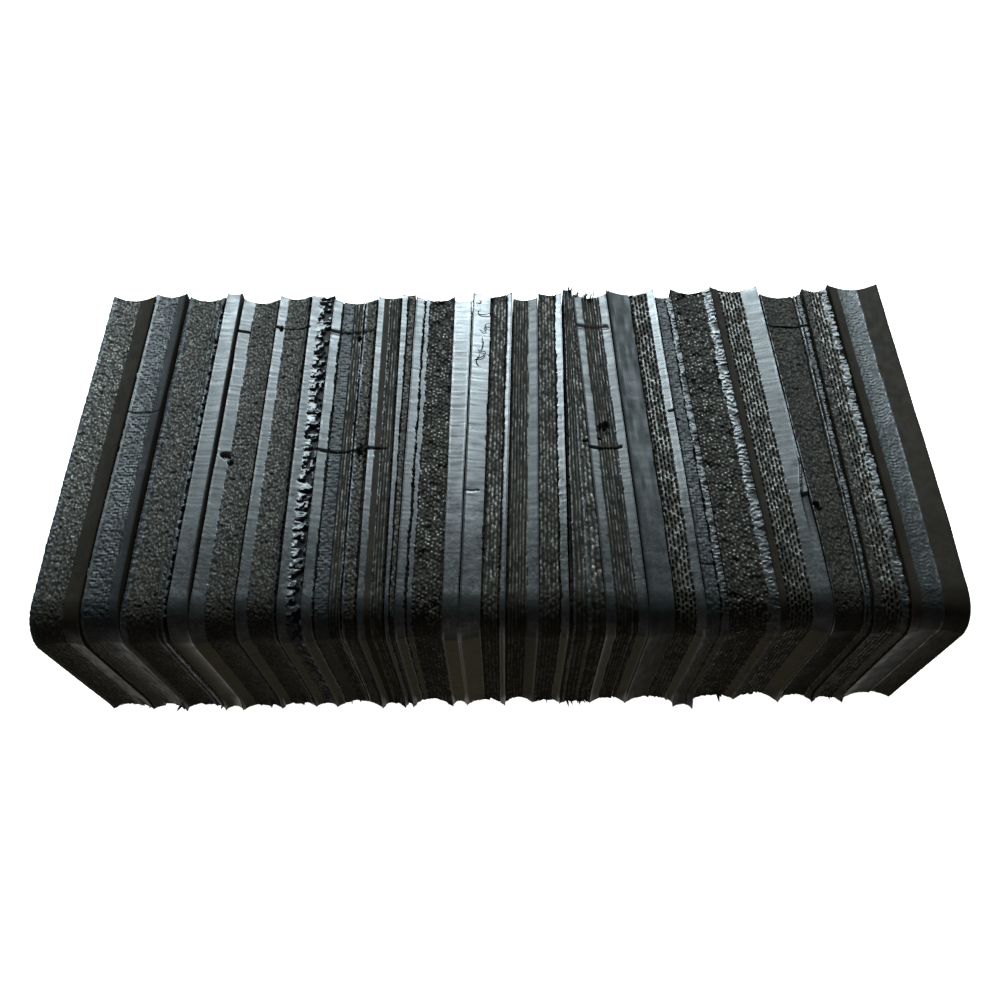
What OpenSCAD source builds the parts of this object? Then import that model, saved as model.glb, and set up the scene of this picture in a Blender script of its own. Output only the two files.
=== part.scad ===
// Laminated rubber block: pads cut from tyre casing, strung on two steel tie rods.
// X runs along the stack, the rounded edge faces -Y, and the block stands on Z = 0.

/* [Block] */
// Length of the clamped stack of pads
block_length = 305; // [295:1:330]
// Depth of the deepest pad, from the rounded edge to the back
block_depth = 144; // [136:1:160]
// Height of the tallest pad
block_height = 78; // [72:1:90]
// Radius of the rounded edge along the top front
nose_radius = 12.5; // [8:0.5:15]

/* [Cut edges] */
// Hollow of a cut edge, as a share of the width that it spans
dish_ratio = 0.11; // [0.06:0.01:0.14]
// Flat land left along each side of a hollow
land_width = 0.7; // [0.5:0.1:1]

/* [Tie rods] */
// Diameter of the two rods
rod_d = 12.7; // [10:0.1:14]
// Radial room between a rod and the hole in a pad
hole_play = 0.4; // [0.2:0.1:0.8]
// Distance between the rod axes
rod_spacing = 72; // [60:1:80]
// Depth of the recesses that hold the nuts at both ends
recess_depth = 12.5; // [12:0.5:13]
// Diameter of the recesses
recess_d = 38; // [37:1:42]

/* [Fasteners] */
// Outside diameter of the washers
washer_d = 34.9; // [30:0.1:36]
// Thickness of the washers
washer_t = 2.8; // [2:0.1:3]
// Width of the nuts across two flats
nut_flats = 19; // [17:0.5:22]
// Thickness of the nuts
nut_t = 8; // [7:0.1:8]

/* [Hidden] */
// One row for each pad, from the left end: thickness at the back, thickness at the front,
// how far the back edge stands in, how far the top edge stands down, grey of the rubber.
PADS = [
    [17, 16, 1, 0.2, 0.30], [13, 13, 0, 0, 0.34], [15.5, 15.5, 1.5, 0.5, 0.24],
    [6.5, 7, 0.5, 0.2, 0.44], [15, 15, 3.5, 0.4, 0.26], [12.5, 13.5, 2, 0.2, 0.30],
    [9, 8, 1.5, 0.5, 0.38], [17.5, 18, 4, 0.2, 0.26], [9.5, 9, 3, 0.5, 0.32],
    [5.5, 3, 2.5, 0, 0.24], [15.5, 15.5, 3.5, 0.3, 0.36], [7, 5.5, 6, 0.5, 0.54],
    [16, 15, 2, 0, 0.50], [10, 11, 4.5, 0.5, 0.30], [9.5, 10, 2.5, 0.2, 0.36],
    [4, 12, 0.5, 0, 0.22], [13.5, 14, 3, 0.6, 0.34], [19, 18.5, 1.5, 0.2, 0.28],
    [6.5, 7.5, 5, 0.6, 0.32], [16, 16.5, 1.5, 0, 0.22], [19, 17.5, 0.5, 0.3, 0.40],
    [17.5, 13, 4.5, 0.6, 0.24], [10.5, 12, 2, 0.2, 0.30], [20, 19, 0.5, 0, 0.26]
];
THICK_BACK = 0;
THICK_FRONT = 1;
SET_BACK = 2;
STEP_DOWN = 3;
GREY = 4;

pad_count = len(PADS);
front_y = -block_depth / 2;
back_y = block_depth / 2;
rod_z = block_height / 2;
rod_ys = [-rod_spacing / 2, rod_spacing / 2];
hole_r = rod_d / 2 + hole_play;
rod_recess = recess_depth - washer_t - nut_t;
edge_break = 0.4;
margin = 1;
steel = [0.55, 0.56, 0.58];

function total(column, n) = n == 0 ? 0 : PADS[n - 1][column] + total(column, n - 1);
function boundary(column, n) =
    block_length * (total(column, n) / total(column, pad_count) - 0.5);
function two_digits(n) = n < 10 ? str("0", n) : str(n);
function pad_name(i) = str("casing_pad_", two_digits(i + 1));

// Side outline of a pad: front edge at x = 0, base at y = 0, one rounded corner.
module side_outline(depth, height) {
    translate([nose_radius, 0]) square([depth - nose_radius, height]);
    square([depth, height - nose_radius]);
    translate([nose_radius, height - nose_radius]) circle(r = nose_radius, $fn = 64);
}

// Plan outline of a pad: its two faces lean with the stack.
module plan_outline(i) {
    polygon([
        [boundary(THICK_FRONT, i), front_y], [boundary(THICK_FRONT, i + 1), front_y],
        [boundary(THICK_BACK, i + 1), back_y], [boundary(THICK_BACK, i), back_y]
    ]);
}

// Round bar that cuts the hollow of an edge: its lowest line lies on the X-Z origin, along Y.
module hollow_bar(span, run) {
    sag = dish_ratio * span;
    bar_r = (span * span / 4 + sag * sag) / (2 * sag);
    translate([0, 0, bar_r - sag]) rotate([-90, 0, 0])
        cylinder(r = bar_r, h = run, center = true, $fn = 96);
}

// The hollows of a pad's top, base, front and back edges.
module edge_hollows(i, depth, height) {
    x_front = (boundary(THICK_FRONT, i) + boundary(THICK_FRONT, i + 1)) / 2;
    x_back = (boundary(THICK_BACK, i) + boundary(THICK_BACK, i + 1)) / 2;
    lean = atan((x_front - x_back) / block_depth);
    thick_front = boundary(THICK_FRONT, i + 1) - boundary(THICK_FRONT, i);
    thick_back = boundary(THICK_BACK, i + 1) - boundary(THICK_BACK, i);
    span = min(thick_front, thick_back) - 2 * land_width;
    long_run = block_depth + 4 * margin;
    tall_run = block_height + 4 * margin;
    translate([(x_front + x_back) / 2, 0, 0]) rotate([0, 0, lean]) {
        translate([0, 0, height]) hollow_bar(span, long_run);
        mirror([0, 0, 1]) hollow_bar(span, long_run);
    }
    translate([x_front, front_y, block_height / 2]) rotate([90, 0, 0])
        hollow_bar(span, tall_run);
    translate([x_back, front_y + depth, block_height / 2]) rotate([-90, 0, 0])
        hollow_bar(span, tall_run);
}

// Holes for both rods, with the nut recesses that open at the two ends of the block.
module rod_holes() {
    for (y = rod_ys) translate([0, y, rod_z]) rotate([0, 90, 0]) {
        cylinder(r = hole_r, h = block_length + 2 * margin, center = true, $fn = 48);
        for (side = [-1, 1])
            translate([0, 0, side * (block_length - recess_depth + margin) / 2])
                cylinder(d = recess_d, h = recess_depth + margin, center = true, $fn = 64);
    }
}

module casing_pad(i) {
    depth = block_depth - PADS[i][SET_BACK];
    height = block_height - PADS[i][STEP_DOWN];
    grey = PADS[i][GREY];
    color([grey, grey, 0.98 * grey]) difference() {
        intersection() {
            linear_extrude(height = block_height) plan_outline(i);
            translate([-block_length / 2 - margin, front_y, 0]) rotate([90, 0, 90])
                linear_extrude(height = block_length + 2 * margin)
                    side_outline(depth, height);
        }
        edge_hollows(i, depth, height);
        rod_holes();
    }
}

// A rod ends just inside the end faces, with its ends chamfered for the thread.
module tie_rod(y) {
    half = block_length / 2 - rod_recess / 2;
    chamfer = 1;
    r = rod_d / 2;
    color(steel) translate([0, y, rod_z]) rotate([0, 90, 0]) rotate_extrude($fn = 48)
        polygon([
            [0, -half], [r - chamfer, -half], [r, chamfer - half],
            [r, half - chamfer], [r - chamfer, half], [0, half]
        ]);
}

module tie_rod_front() {
    tie_rod(rod_ys[0]);
}

module tie_rod_rear() {
    tie_rod(rod_ys[1]);
}

// Stands its children at the floor of each of the four recesses, facing outwards.
module at_each_recess() {
    for (y = rod_ys, side = [-1, 1])
        translate([side * (block_length / 2 - recess_depth), y, rod_z])
            rotate([0, side * 90, 0]) children();
}

// Punched flat washers with broken edges.
module rod_washers() {
    r = washer_d / 2;
    color(steel) at_each_recess() rotate_extrude($fn = 64) polygon([
        [hole_r, 0], [r - edge_break, 0], [r, edge_break],
        [r, washer_t - edge_break], [r - edge_break, washer_t], [hole_r, washer_t]
    ]);
}

// Hex nuts, chamfered on both faces: the cone leaves the middle of each flat whole.
module jam_nuts() {
    corner_r = nut_flats / sqrt(3);
    face_r = 0.96 * nut_flats / 2;
    chamfer = (corner_r - face_r) * tan(30);
    color(steel) at_each_recess() translate([0, 0, washer_t]) difference() {
        intersection() {
            cylinder(r = corner_r, h = nut_t, $fn = 6);
            rotate_extrude($fn = 64) polygon([
                [0, 0], [face_r, 0], [corner_r, chamfer],
                [corner_r, nut_t - chamfer], [face_r, nut_t], [0, nut_t]
            ]);
        }
        translate([0, 0, -margin])
            cylinder(d = rod_d, h = nut_t + 2 * margin, $fn = 48);
    }
}

for (i = [0 : pad_count - 1]) {
    casing_pad(i);
}
tie_rod_front();
tie_rod_rear();
rod_washers();
jam_nuts();
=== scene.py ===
import math
from collections import namedtuple
from functools import lru_cache

import bpy
import numpy as np
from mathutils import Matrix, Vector
from mathutils.geometry import delaunay_2d_cdt


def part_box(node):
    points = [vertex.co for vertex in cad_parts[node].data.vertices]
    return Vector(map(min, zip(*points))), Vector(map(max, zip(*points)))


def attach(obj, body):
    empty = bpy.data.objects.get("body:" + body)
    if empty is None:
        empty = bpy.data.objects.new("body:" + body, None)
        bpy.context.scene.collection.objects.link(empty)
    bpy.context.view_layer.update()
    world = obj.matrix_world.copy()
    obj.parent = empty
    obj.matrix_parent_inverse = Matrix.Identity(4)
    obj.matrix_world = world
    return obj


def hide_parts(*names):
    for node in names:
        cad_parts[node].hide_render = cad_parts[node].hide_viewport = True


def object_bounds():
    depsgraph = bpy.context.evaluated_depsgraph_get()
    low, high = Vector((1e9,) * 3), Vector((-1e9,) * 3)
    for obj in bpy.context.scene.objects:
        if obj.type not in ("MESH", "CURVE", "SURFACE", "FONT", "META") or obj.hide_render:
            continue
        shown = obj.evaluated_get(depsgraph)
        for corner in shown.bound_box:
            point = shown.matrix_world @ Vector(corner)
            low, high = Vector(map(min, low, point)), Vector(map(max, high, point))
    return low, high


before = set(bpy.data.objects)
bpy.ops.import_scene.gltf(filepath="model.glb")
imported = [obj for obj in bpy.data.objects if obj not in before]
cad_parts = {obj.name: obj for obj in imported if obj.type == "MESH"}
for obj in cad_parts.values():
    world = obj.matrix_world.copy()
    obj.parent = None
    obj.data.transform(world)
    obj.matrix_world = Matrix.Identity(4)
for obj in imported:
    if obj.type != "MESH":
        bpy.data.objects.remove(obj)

CAD_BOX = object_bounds()

# Lengths below are in millimetres, and MM turns them into metres.
MM = 0.001
NOSE_R = 12.5
CORNER_R = 0.7
RECESS_R = 19.0
HOLE_PLAY = 0.4
WASHER_T = 2.8

# The hollow of a cut edge is this share of the pad's width deep, and the top sags towards the nose.
DISH = 0.085
SAG = 0.95
# The relief fades near the small corners of a pad, and its folds are pressed flat within reach.
CORNER_FADE, CORNER_REACH = 1.5, 3

# The tables behind the noise have this many numbers along each side.
LATTICE = 256

low, high = (np.array(corner) / MM for corner in CAD_BOX)
LEFT, HEIGHT = low[0], high[2] - low[2]
COARSE = 1.0

# How far apart the points of a cut edge lie: across the pad, and along each stretch of it.
STEP_ACROSS = 0.25 * COARSE
STEP_BACK, STEP_TOP, STEP_NOSE, STEP_FRONT, STEP_BASE = (
    COARSE * step for step in (0.42, 0.30, 0.36, 0.42, 0.9)
)
STEP_CORNER = 0.25


# ------------------------------------------------------------------ camera

def make_camera():
    """The photograph's view: above the rounded edge, looking about 60 degrees down."""
    data = bpy.data.cameras.new("camera")
    data.sensor_width = 36.0
    data.lens = 31.77
    data.clip_start = 0.01
    camera = bpy.data.objects.new("camera", data)
    camera.location = Vector((0.4, -178.7, 340.5)) * MM
    camera.rotation_euler = [math.radians(a) for a in (30.19, 0.40, -0.74)]
    bpy.context.scene.collection.objects.link(camera)
    bpy.context.scene.camera = camera


# ------------------------------------------------------------------ noise

@lru_cache(maxsize=None)
def lattice(seed):
    return np.random.default_rng(seed).uniform(-1.0, 1.0, (LATTICE, LATTICE))


def noise(x, y, seed):
    """Smooth value noise from -1 to 1, with cells one unit wide."""
    table = lattice(seed)
    x, y = np.broadcast_arrays(x, y)
    col, row = np.floor(x).astype(int), np.floor(y).astype(int)
    fx, fy = x - col, y - row
    fx, fy = fx * fx * (3 - 2 * fx), fy * fy * (3 - 2 * fy)

    def at(a, b):
        return table[(col + a) % LATTICE, (row + b) % LATTICE]

    near = at(0, 0) * (1 - fx) + at(1, 0) * fx
    far = at(0, 1) * (1 - fx) + at(1, 1) * fx
    return near * (1 - fy) + far * fy


def teeth(s, seed):
    """A ragged line from about -1 to 1: torn teeth of uneven length."""
    zigzag = np.abs(((s / 3.1 + 0.6 * noise(s * 0.2, 0.5, seed)) % 1.0) * 2 - 1)
    return 1.2 * zigzag * noise(s * 0.33, 1.5, seed + 1) + 0.5 * noise(s * 1.3, 2.5, seed + 2)


def rise(value, start, end):
    """0 below start, 1 above end, and smooth between."""
    t = np.clip((value - start) / (end - start), 0, 1)
    return t * t * (3 - 2 * t)


def cord_ends(u, s, pitch_u, pitch_s, jitter, size_u, size_s, seed):
    """Domes from 0 to 1 where cut cords end, on a staggered and jittered lattice. Their half
    sizes are shares of the pitch."""
    u, s = np.broadcast_arrays(u, s)
    where, amount = lattice(seed), lattice(seed + 1)
    col0 = np.floor(u / pitch_u).astype(int)
    best = np.zeros(u.shape)
    for col in (col0 - 1, col0, col0 + 1):
        shift = 0.5 * (col % 2)
        row0 = np.floor(s / pitch_s - shift).astype(int)
        for row in (row0 - 1, row0, row0 + 1):
            i, j = col % LATTICE, row % LATTICE
            du = u - (col + 0.5 + jitter * where[i, j]) * pitch_u
            ds = s - (row + 0.5 + shift + jitter * where[j, i]) * pitch_s
            reach = (du / (size_u * pitch_u)) ** 2 + (ds / (size_s * pitch_s)) ** 2
            dome = np.clip(1 - reach, 0, None) * (0.65 + 0.35 * amount[i, j])
            best = np.maximum(best, dome)
    return best


# ------------------------------------------------------------------ layers of a cut edge
# Each gives (height in mm, fibre from 0 to 1, gloss from 0 to 1). u runs across the pad,
# s along its edge, both in mm, and w goes from 0 to 1 across the layer.

def skin(u, s, w, seed):
    """Shiny rubber cut by a blade: fine chatter marks across it."""
    chatter = 0.017 * noise(u * 0.10, s * 1.3, seed) + 0.012 * noise(u * 0.10, s * 0.6, seed + 1)
    swell = 0.06 * noise(u * 0.1, s * 0.06, seed + 2) + 0.12 * (1 - (2 * w - 1) ** 2)
    return chatter + swell, 0.0, 0.86 + 0.16 * noise(u * 0.12, s * 1.1, seed + 3)


def curled(u, s, w, seed):
    """Skin whose right-hand edge curls up into a flap that ends in a notch."""
    height, fibre, gloss = skin(u, s, w, seed)
    ridge = 0.95 - 0.28 * rise(s, 160, 173)
    flap = rise(s, 148, 168) * (1 - rise(s, 172, 173.5))
    lip = flap * np.exp(-((w - ridge) / 0.05) ** 2)
    notch = rise(s, 172.5, 173.5) * (1 - rise(s, 174, 200)) * rise(w, 0.55, 0.75)
    return height + 0.6 * lip - 1.0 * notch, fibre, gloss * (1 - 0.7 * rise(notch, 0.1, 0.6))


def scaly(u, s, w, seed):
    """Rubber torn into a row of shiny lumps with notches between them."""
    phase = s / 3.2 + 2.0 * noise(s * 0.25, 0.5, seed) + 0.6 * noise(u * 0.6, s * 0.6, seed + 4)
    lump = np.sqrt(np.abs(np.sin(np.pi * phase)))
    notch = (1 - rise(lump, 0.2, 0.7)) * (0.1 + 0.9 * rise(w, 0.1, 1.0))
    missing = rise(noise(0.5, s * 0.3, seed + 1), 0.1, 0.6) * rise(w, 0.2, 0.8)
    height = 0.12 * lump - 0.35 * notch - 0.6 * missing + 0.12 * noise(u, s * 1.5, seed + 2)
    return height, 0.0, (0.55 + 0.45 * lump) * (1 - 0.6 * notch) * (1 - 0.7 * missing)


def rim(u, s, w, seed):
    """Narrow lip of rubber along a face of the pad, nicked here and there."""
    nick = np.clip(noise(u * 0.4, s * 0.8, seed) - 0.35, 0, 1)
    return 0.12 - 0.5 * nick, 0.12, 0.55 - 0.5 * nick + 0.25 * noise(u * 0.3, s * 0.5, seed + 1)


def dull(u, s, w, seed):
    """Matt rubber with hardly any mark on it."""
    return -0.12 + 0.05 * noise(u * 0.3, s * 0.2, seed), 0.0, 0.12 + 0.06 * noise(u, s * 0.4, seed + 1)


def slate(u, s, w, seed):
    """Satin rubber, faintly ribbed along the edge, with the blade's pauses across it."""
    ribs = 0.03 * np.cos(2 * np.pi * u / 0.9) + 0.03 * noise(u * 0.2, s * 0.6, seed)
    pause = rise(noise(0.5, s * 0.22, seed + 2), 0.55, 0.75)
    return ribs - 0.05, 0.12 * pause, 0.25 + 0.2 * noise(u * 0.8, s * 0.15, seed + 1) + 0.3 * pause


def hatch(u, s, w, seed):
    """Closely woven ply cut on the slant: fine ribs across, fainter ones along."""
    wander = 1.6 * noise(u * 0.35, s * 0.3, seed) + 0.7 * noise(u * 0.9, s * 0.8, seed + 4)
    across = np.cos(2 * np.pi * s / 1.15 + wander + 0.35 * u)
    along = np.cos(2 * np.pi * u / 1.15 + noise(u * 0.2, s * 0.3, seed + 1))
    patch = 0.5 + 0.5 * noise(u * 0.3, s * 0.12, seed + 2)
    grain = noise(u * 1.3, s * 1.3, seed + 3)
    height = -0.15 + 0.07 * across * patch + 0.08 * along + 0.22 * grain
    spark = 0.22 * noise(u * 1.6, s * 1.6, seed + 5)
    return height, 0.5 * rise(across + along + grain, 0.0, 1.4) * patch, 0.26 + 0.34 * patch + spark


def bowed(u, s, w, seed):
    """Ply whose cords run across it in shallow bows."""
    bow = 2.2 * (w - 0.4) ** 2 * 4
    cord = np.cos(2 * np.pi * (s + bow) / 1.3 + 0.7 * noise(u * 0.2, s * 0.2, seed))
    patch = 0.5 + 0.5 * noise(u * 0.3, s * 0.15, seed + 1)
    height = -0.12 + 0.07 * cord * patch + 0.10 * noise(u * 1.3, s * 1.3, seed + 2)
    return height, 0.4 * rise(cord, 0.2, 1) * patch, 0.40 + 0.25 * patch


def speckle(u, s, w, seed):
    """Tangle of cord ends and pits."""
    ends = cord_ends(u, s, 0.9, 1.2, 0.50, 0.52, 0.58, seed)
    pits = np.clip(noise(u * 0.7, s * 0.7, seed + 2) - 0.35, 0, 1)
    height = -0.40 + 0.32 * ends - 0.6 * pits + 0.14 * noise(u * 1.2, s * 1.0, seed + 3)
    spark = 0.32 + 0.32 * rise(noise(u * 1.0, s * 0.8, seed + 4), -0.5, 0.7)
    shown = rise(ends, 0.02, 0.7)
    return height, shown * spark, 0.15 + 0.8 * shown * spark


def coarse(u, s, w, seed):
    """Heavier cords in rough columns, torn out in places."""
    ends = cord_ends(u, s, 1.35, 1.6, 0.26, 0.44, 0.52, seed)
    pits = np.clip(noise(u * 0.4, s * 0.3, seed + 2) - 0.25, 0, 1)
    height = -0.6 + 0.75 * ends - 1.2 * pits + 0.16 * noise(u * 1.2, s * 1.2, seed + 3)
    spark = 0.22 + 0.78 * rise(noise(u * 0.6, s * 0.6, seed + 4), -0.2, 0.6)
    shown = rise(ends, 0.08, 0.5)
    return height, shown * spark * (1 - pits), 0.08 + shown * spark


def dashes(u, s, w, seed):
    """Thin plies whose cut cords show as columns of short dashes."""
    ends = cord_ends(u + 0.2 * noise(0.5, s * 0.1, seed + 5), s, 1.35, 2.4, 0.18, 0.38, 0.66, seed)
    height = -0.6 + 0.55 * ends + 0.16 * noise(u * 1.2, s * 1.1, seed + 3)
    spark = 0.22 + 0.78 * rise(noise(u * 0.7, s * 0.5, seed + 4), -0.6, 0.7)
    shown = rise(ends, 0.02, 0.35)
    return height, 0.8 * shown * spark, 0.06 + 0.8 * shown * spark


def rows(u, s, w, seed):
    """Plies cut on the slant: a pale net of cord with rows of long black pits in it."""
    sway = 0.25 * noise(0.5, s * 0.1, seed + 5)
    pits = cord_ends(u + sway, s, 1.35, 2.4, 0.12, 0.32, 0.49, seed)
    hole = rise(pits, 0.0, 0.35)
    height = -0.15 - 0.75 * hole + 0.14 * noise(u * 1.3, s * 1.1, seed + 3)
    spark = 0.22 + 0.78 * rise(noise(u * 0.6, s * 0.5, seed + 4), -0.6, 0.5)
    shown = (1 - hole) * spark
    return height, 0.8 * shown, 0.10 + 0.80 * shown


def lines(u, s, w, seed):
    """Thin plies seen as fine lines along the edge."""
    ridge = 0.5 + 0.5 * np.cos(2 * np.pi * u / 1.1 + 0.9 * noise(u * 0.3, s * 0.12, seed))
    wear_and_painted_highlight = rise(noise(u * 1.1, s * 0.5, seed + 1), -0.8, 0.6)
    height = -0.5 + 0.55 * ridge * (0.4 + 0.6 * wear_and_painted_highlight) + 0.08 * noise(u * 1.7, s * 1.3, seed + 2)
    shown = rise(ridge, 0.35, 0.85) * wear_and_painted_highlight
    return height, 0.8 * shown, 0.06 + 0.70 * shown


def bead(u, s, w, seed):
    """One thin bright line of rubber between plies, broken into dashes."""
    dash = rise(noise(0.5, s * 0.9, seed), -0.7, 0.4)
    dome = 1 - (2 * w - 1) ** 2
    return -0.15 + 0.3 * dome * (0.4 + 0.6 * dash), 0.3 * dash, 0.25 + 0.6 * dash


def seam(u, s, w, seed):
    """Narrow split between two layers."""
    return -1.2 + 0.4 * noise(u, s * 0.8, seed), 0.0, 0.0


def torn(u, s, w, seed):
    """Rubber ripped sideways into shards that point right: long at the back, short in front."""
    along = np.maximum(s - HEIGHT, 0)
    phase = (s + 0.008 * along ** 2) / 10 + 0.5 * noise(s * 0.12, 0.5, seed)
    phase = phase + 0.10 * noise(u * 0.5, s * 0.8, seed + 1)
    shard = phase % 1.0
    reach = 0.52 + 0.35 * noise(np.floor(phase), 0.5, seed + 2) - 0.35 * shard
    reach = reach + 0.16 * noise(u * 0.4, s * 0.9, seed + 5)
    plate = rise(reach - w, -0.08, 0.02) * rise(shard, 0.03, 0.10 + 0.25 * w)
    crumb = rise(noise(u * 0.9, s * 0.8, seed + 3), 0.0, 0.25)
    solid = np.maximum(plate, 0.85 * crumb)
    tilt = 0.6 * (shard - 0.5) + 0.2 * noise(u * 0.6, s * 1.0, seed + 4)
    return -1.4 + solid * (1.4 + tilt), 0.0, 0.22 + 0.72 * solid


# A face's cut number says which of these it is, or that it is a side face or a torn fibre.
CUT_KINDS = [skin, curled, scaly, rim, dull, slate, hatch, bowed, speckle, coarse,
             dashes, rows, lines, bead, seam, torn]
FACE = len(CUT_KINDS)
THORN = FACE + 1
CORDED = (speckle, coarse, dashes, rows, torn, lines)

Layer = namedtuple("Layer", "cut width ragged gloss front", defaults=(0.2, 1.0, 1.0))
L = Layer

# The layers of each pad from left to right: how each is cut, its width, how ragged its
# right-hand border is, how glossy it is against others of its kind, and how much glossier it
# is on the front.
PADS = [
    [L(hatch, 1.0, 0.5, 1.3), L(speckle, 9.8, 0.2, 1.4), L(dull, 6.2, 0.1, 1, 8)],
    [L(seam, 0.4), L(skin, 1.0, 0.2, 0.85), L(hatch, 8.0), L(slate, 3.6, 0.1, 0.9, 2)],
    [L(hatch, 1.4, 0.4, 0.9, 2), L(speckle, 9.6), L(rim, 0.8, 0.6, 0.6), L(speckle, 1.4, 0.4),
     L(rim, 0.9, 0.5), L(torn, 1.5, 0.5, 0.5)],
    [L(skin, 6.5, 0.3)],
    [L(skin, 4.3), L(speckle, 9.6, 0.3), L(seam, 0.5)],
    [L(skin, 3.2), L(speckle, 7.6), L(rim, 0.8, 0.5, 0.3), L(seam, 0.7, 0.3)],
    [L(skin, 3.2, 0.8), L(torn, 5.8, 0.3)],
    [L(skin, 3.2), L(seam, 0.5), L(hatch, 4.2, 0.1, 0.7), L(lines, 3.3), L(bead, 0.7), L(seam, 0.4),
     L(bead, 0.8), L(speckle, 3.4, 0.5), L(seam, 0.8, 0.3)],
    [L(skin, 2.0), L(dull, 2.0), L(bead, 0.5, 0.3), L(lines, 3.6), L(seam, 0.5)],
    [L(skin, 2.3), L(seam, 0.6, 0.4), L(speckle, 2.6)],
    [L(skin, 3.2, 0.4), L(seam, 0.6, 0.4), L(skin, 1.8, 0.5, 0.9), L(coarse, 9.9)],
    [L(skin, 6.2, 0.1, 1.5)],
    [L(skin, 7.2, 0.1, 1.5), L(seam, 0.6), L(dashes, 5.4, 0.2, 0.9), L(seam, 0.5),
     L(skin, 2.0, 0.1, 1.3)],
    [L(seam, 0.4), L(lines, 6.0), L(skin, 3.6, 0.1, 0.66)],
    [L(dashes, 6.5, 0.3, 0.8), L(seam, 0.4, 0.4), L(skin, 2.6, 0.3, 1.4)],
    [L(seam, 0.5), L(bead, 0.6), L(lines, 2.2), L(bead, 0.7), L(dashes, 2.6)],
    [L(skin, 3.4, 0.4, 0.75), L(lines, 4.8, 0.3), L(bead, 0.5), L(lines, 1.4), L(skin, 3.2, 0.3)],
    [L(slate, 9.0, 0.1, 1.5), L(seam, 0.5), L(rows, 6.5), L(skin, 2.9, 0.4, 1.4)],
    [L(hatch, 4.2, 0.3, 0.8), L(seam, 0.3, 0.5), L(scaly, 2.0, 0.6, 0.8)],
    [L(coarse, 12.8, 0.8), L(scaly, 3.2, 0.4)],
    [L(dull, 3.1), L(rows, 9.2, 0.3), L(curled, 6.5)],
    [L(bead, 0.8), L(speckle, 12.4, 0.1, 0.4), L(seam, 0.4), L(bead, 0.9), L(seam, 0.3),
     L(hatch, 1.7, 0.4, 1.1), L(seam, 0.6)],
    [L(speckle, 3.0, 0.6), L(rows, 4.8, 0.4), L(scaly, 2.2, 0.5, 0.8), L(seam, 0.4)],
    [L(dull, 4.0, 0.1, 1, 7), L(bowed, 7.4, 0.1, 1, 0.3), L(bead, 0.7, 0.1), L(dull, 7.9, 0.1, 1, 5)],
]

# How far each pad stands out of the front, and its lower edge on top of that.
STAND_OUT = [0.9, 0.4, 0.9, 0.2, 0.8, 0.1, 0.5, 0.7, 0.3, 0.6, 0.2, 0.5,
             0.7, 0.1, 0.4, 0.1, 0.3, 0.8, 0.6, 0.1, 0.2, 0.5, 0.7, 1.0]
FOOT_OUT = [0.2, 0.5, 0.4, 0.9, 0.6, 0.7, 0.2, 0.5, 0.9, 0.5, 0.3, 0.0,
            0.1, -0.3, 0.3, 0.8, 0.5, 0.0, 2.4, 0.1, 0.2, 0.3, 0.6, -0.3]

# Width of the open joint on the left of each pad, where cusps don't meet, and then on the right
# of the last. The two at the ends round off the block.
JOINTS = [0.7, 0.3, 1.6, 0.4, 1.4, 0.3, 0.3, 0.2, 0.3, 0.3, 0.5, 0.2, 0.5,
          0.3, 0.3, 0.8, 0.3, 0.5, 0.5, 0.3, 0.3, 0.8, 0.5, 0.3, 0.7]

# Knife cuts across the top: from and to, measured from the left end, distance from the back
# edge, depth and half width.
Cut = namedtuple("Cut", "start end back depth half")
CUTS = [
    Cut(52.5, 57, 16.5, 1.1, 0.3), Cut(65.8, 69.2, 16.3, 1.1, 0.3),
    Cut(88, 105, 16.6, 0.7, 0.8), Cut(183, 196, 17.0, 0.6, 0.9),
    Cut(258, 275, 16.4, 0.8, 0.3), Cut(88, 113, 72.5, 0.7, 0.45),
    Cut(183, 197, 73.0, 1.1, 0.35), Cut(215, 219, 60.0, 0.5, 0.3),
    Cut(141, 146, 92.0, 0.25, 0.25), Cut(17, 29, 58.0, 0.3, 0.3),
    Cut(70, 80, 16.6, 0.5, 0.3), Cut(219, 224, 118.0, 0.5, 0.3),
]

# Holes torn in the top: from the left end, from the back edge, half length across and along.
Pit = namedtuple("Pit", "across back half_x half_y")
PITS = [
    Pit(55.6, 74, 2.2, 1.6), Pit(57.4, 76.5, 1.2, 1.2), Pit(103.4, 73, 1.7, 3.8),
    Pit(190.4, 66, 2.4, 3.6), Pit(192.0, 63, 1.2, 2.2), Pit(99.5, 20, 0.8, 2.0),
    Pit(262, 97, 1.6, 2.4), Pit(69, 17, 0.9, 1.3),
]

# Torn cords that stand up along the back edge of a pad: from and to, as shares of its width,
# how many, and how long in mm.
LOOSE_ENDS = {
    7: (0.85, 1.0, 4, 1.8), 15: (0.55, 1.0, 9, 2.6), 16: (0.0, 0.6, 22, 3.2), 17: (0.0, 0.1, 3, 1.6),
}

# Threads lying on the top of a pad: from its left face, from the back edge, and length, in mm.
THREADS = {12: [(1.2, 3, 9), (2.6, 7, 12), (1.6, 18, 14), (3.4, 22, 10), (1.2, 30, 13), (3.0, 36, 8)]}

# How often a burr stands along the lower front edge of a pad's cords, where it isn't 0.02.
BURRS = {15: 0.3, 14: 0.08, 19: 0.06, 22: 0.1}


# ------------------------------------------------------------------ shape of a pad

# The outline's points and normals, their distance along it and behind its front, whether they are
# on the flat top, and the low and high corners around it.
Outline = namedtuple("Outline", "y z ny nz s from_front on_top low high")


def box_of(node):
    """The low and high corners of a CAD node, in mm."""
    return [np.array(corner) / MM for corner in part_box(node)]


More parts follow.
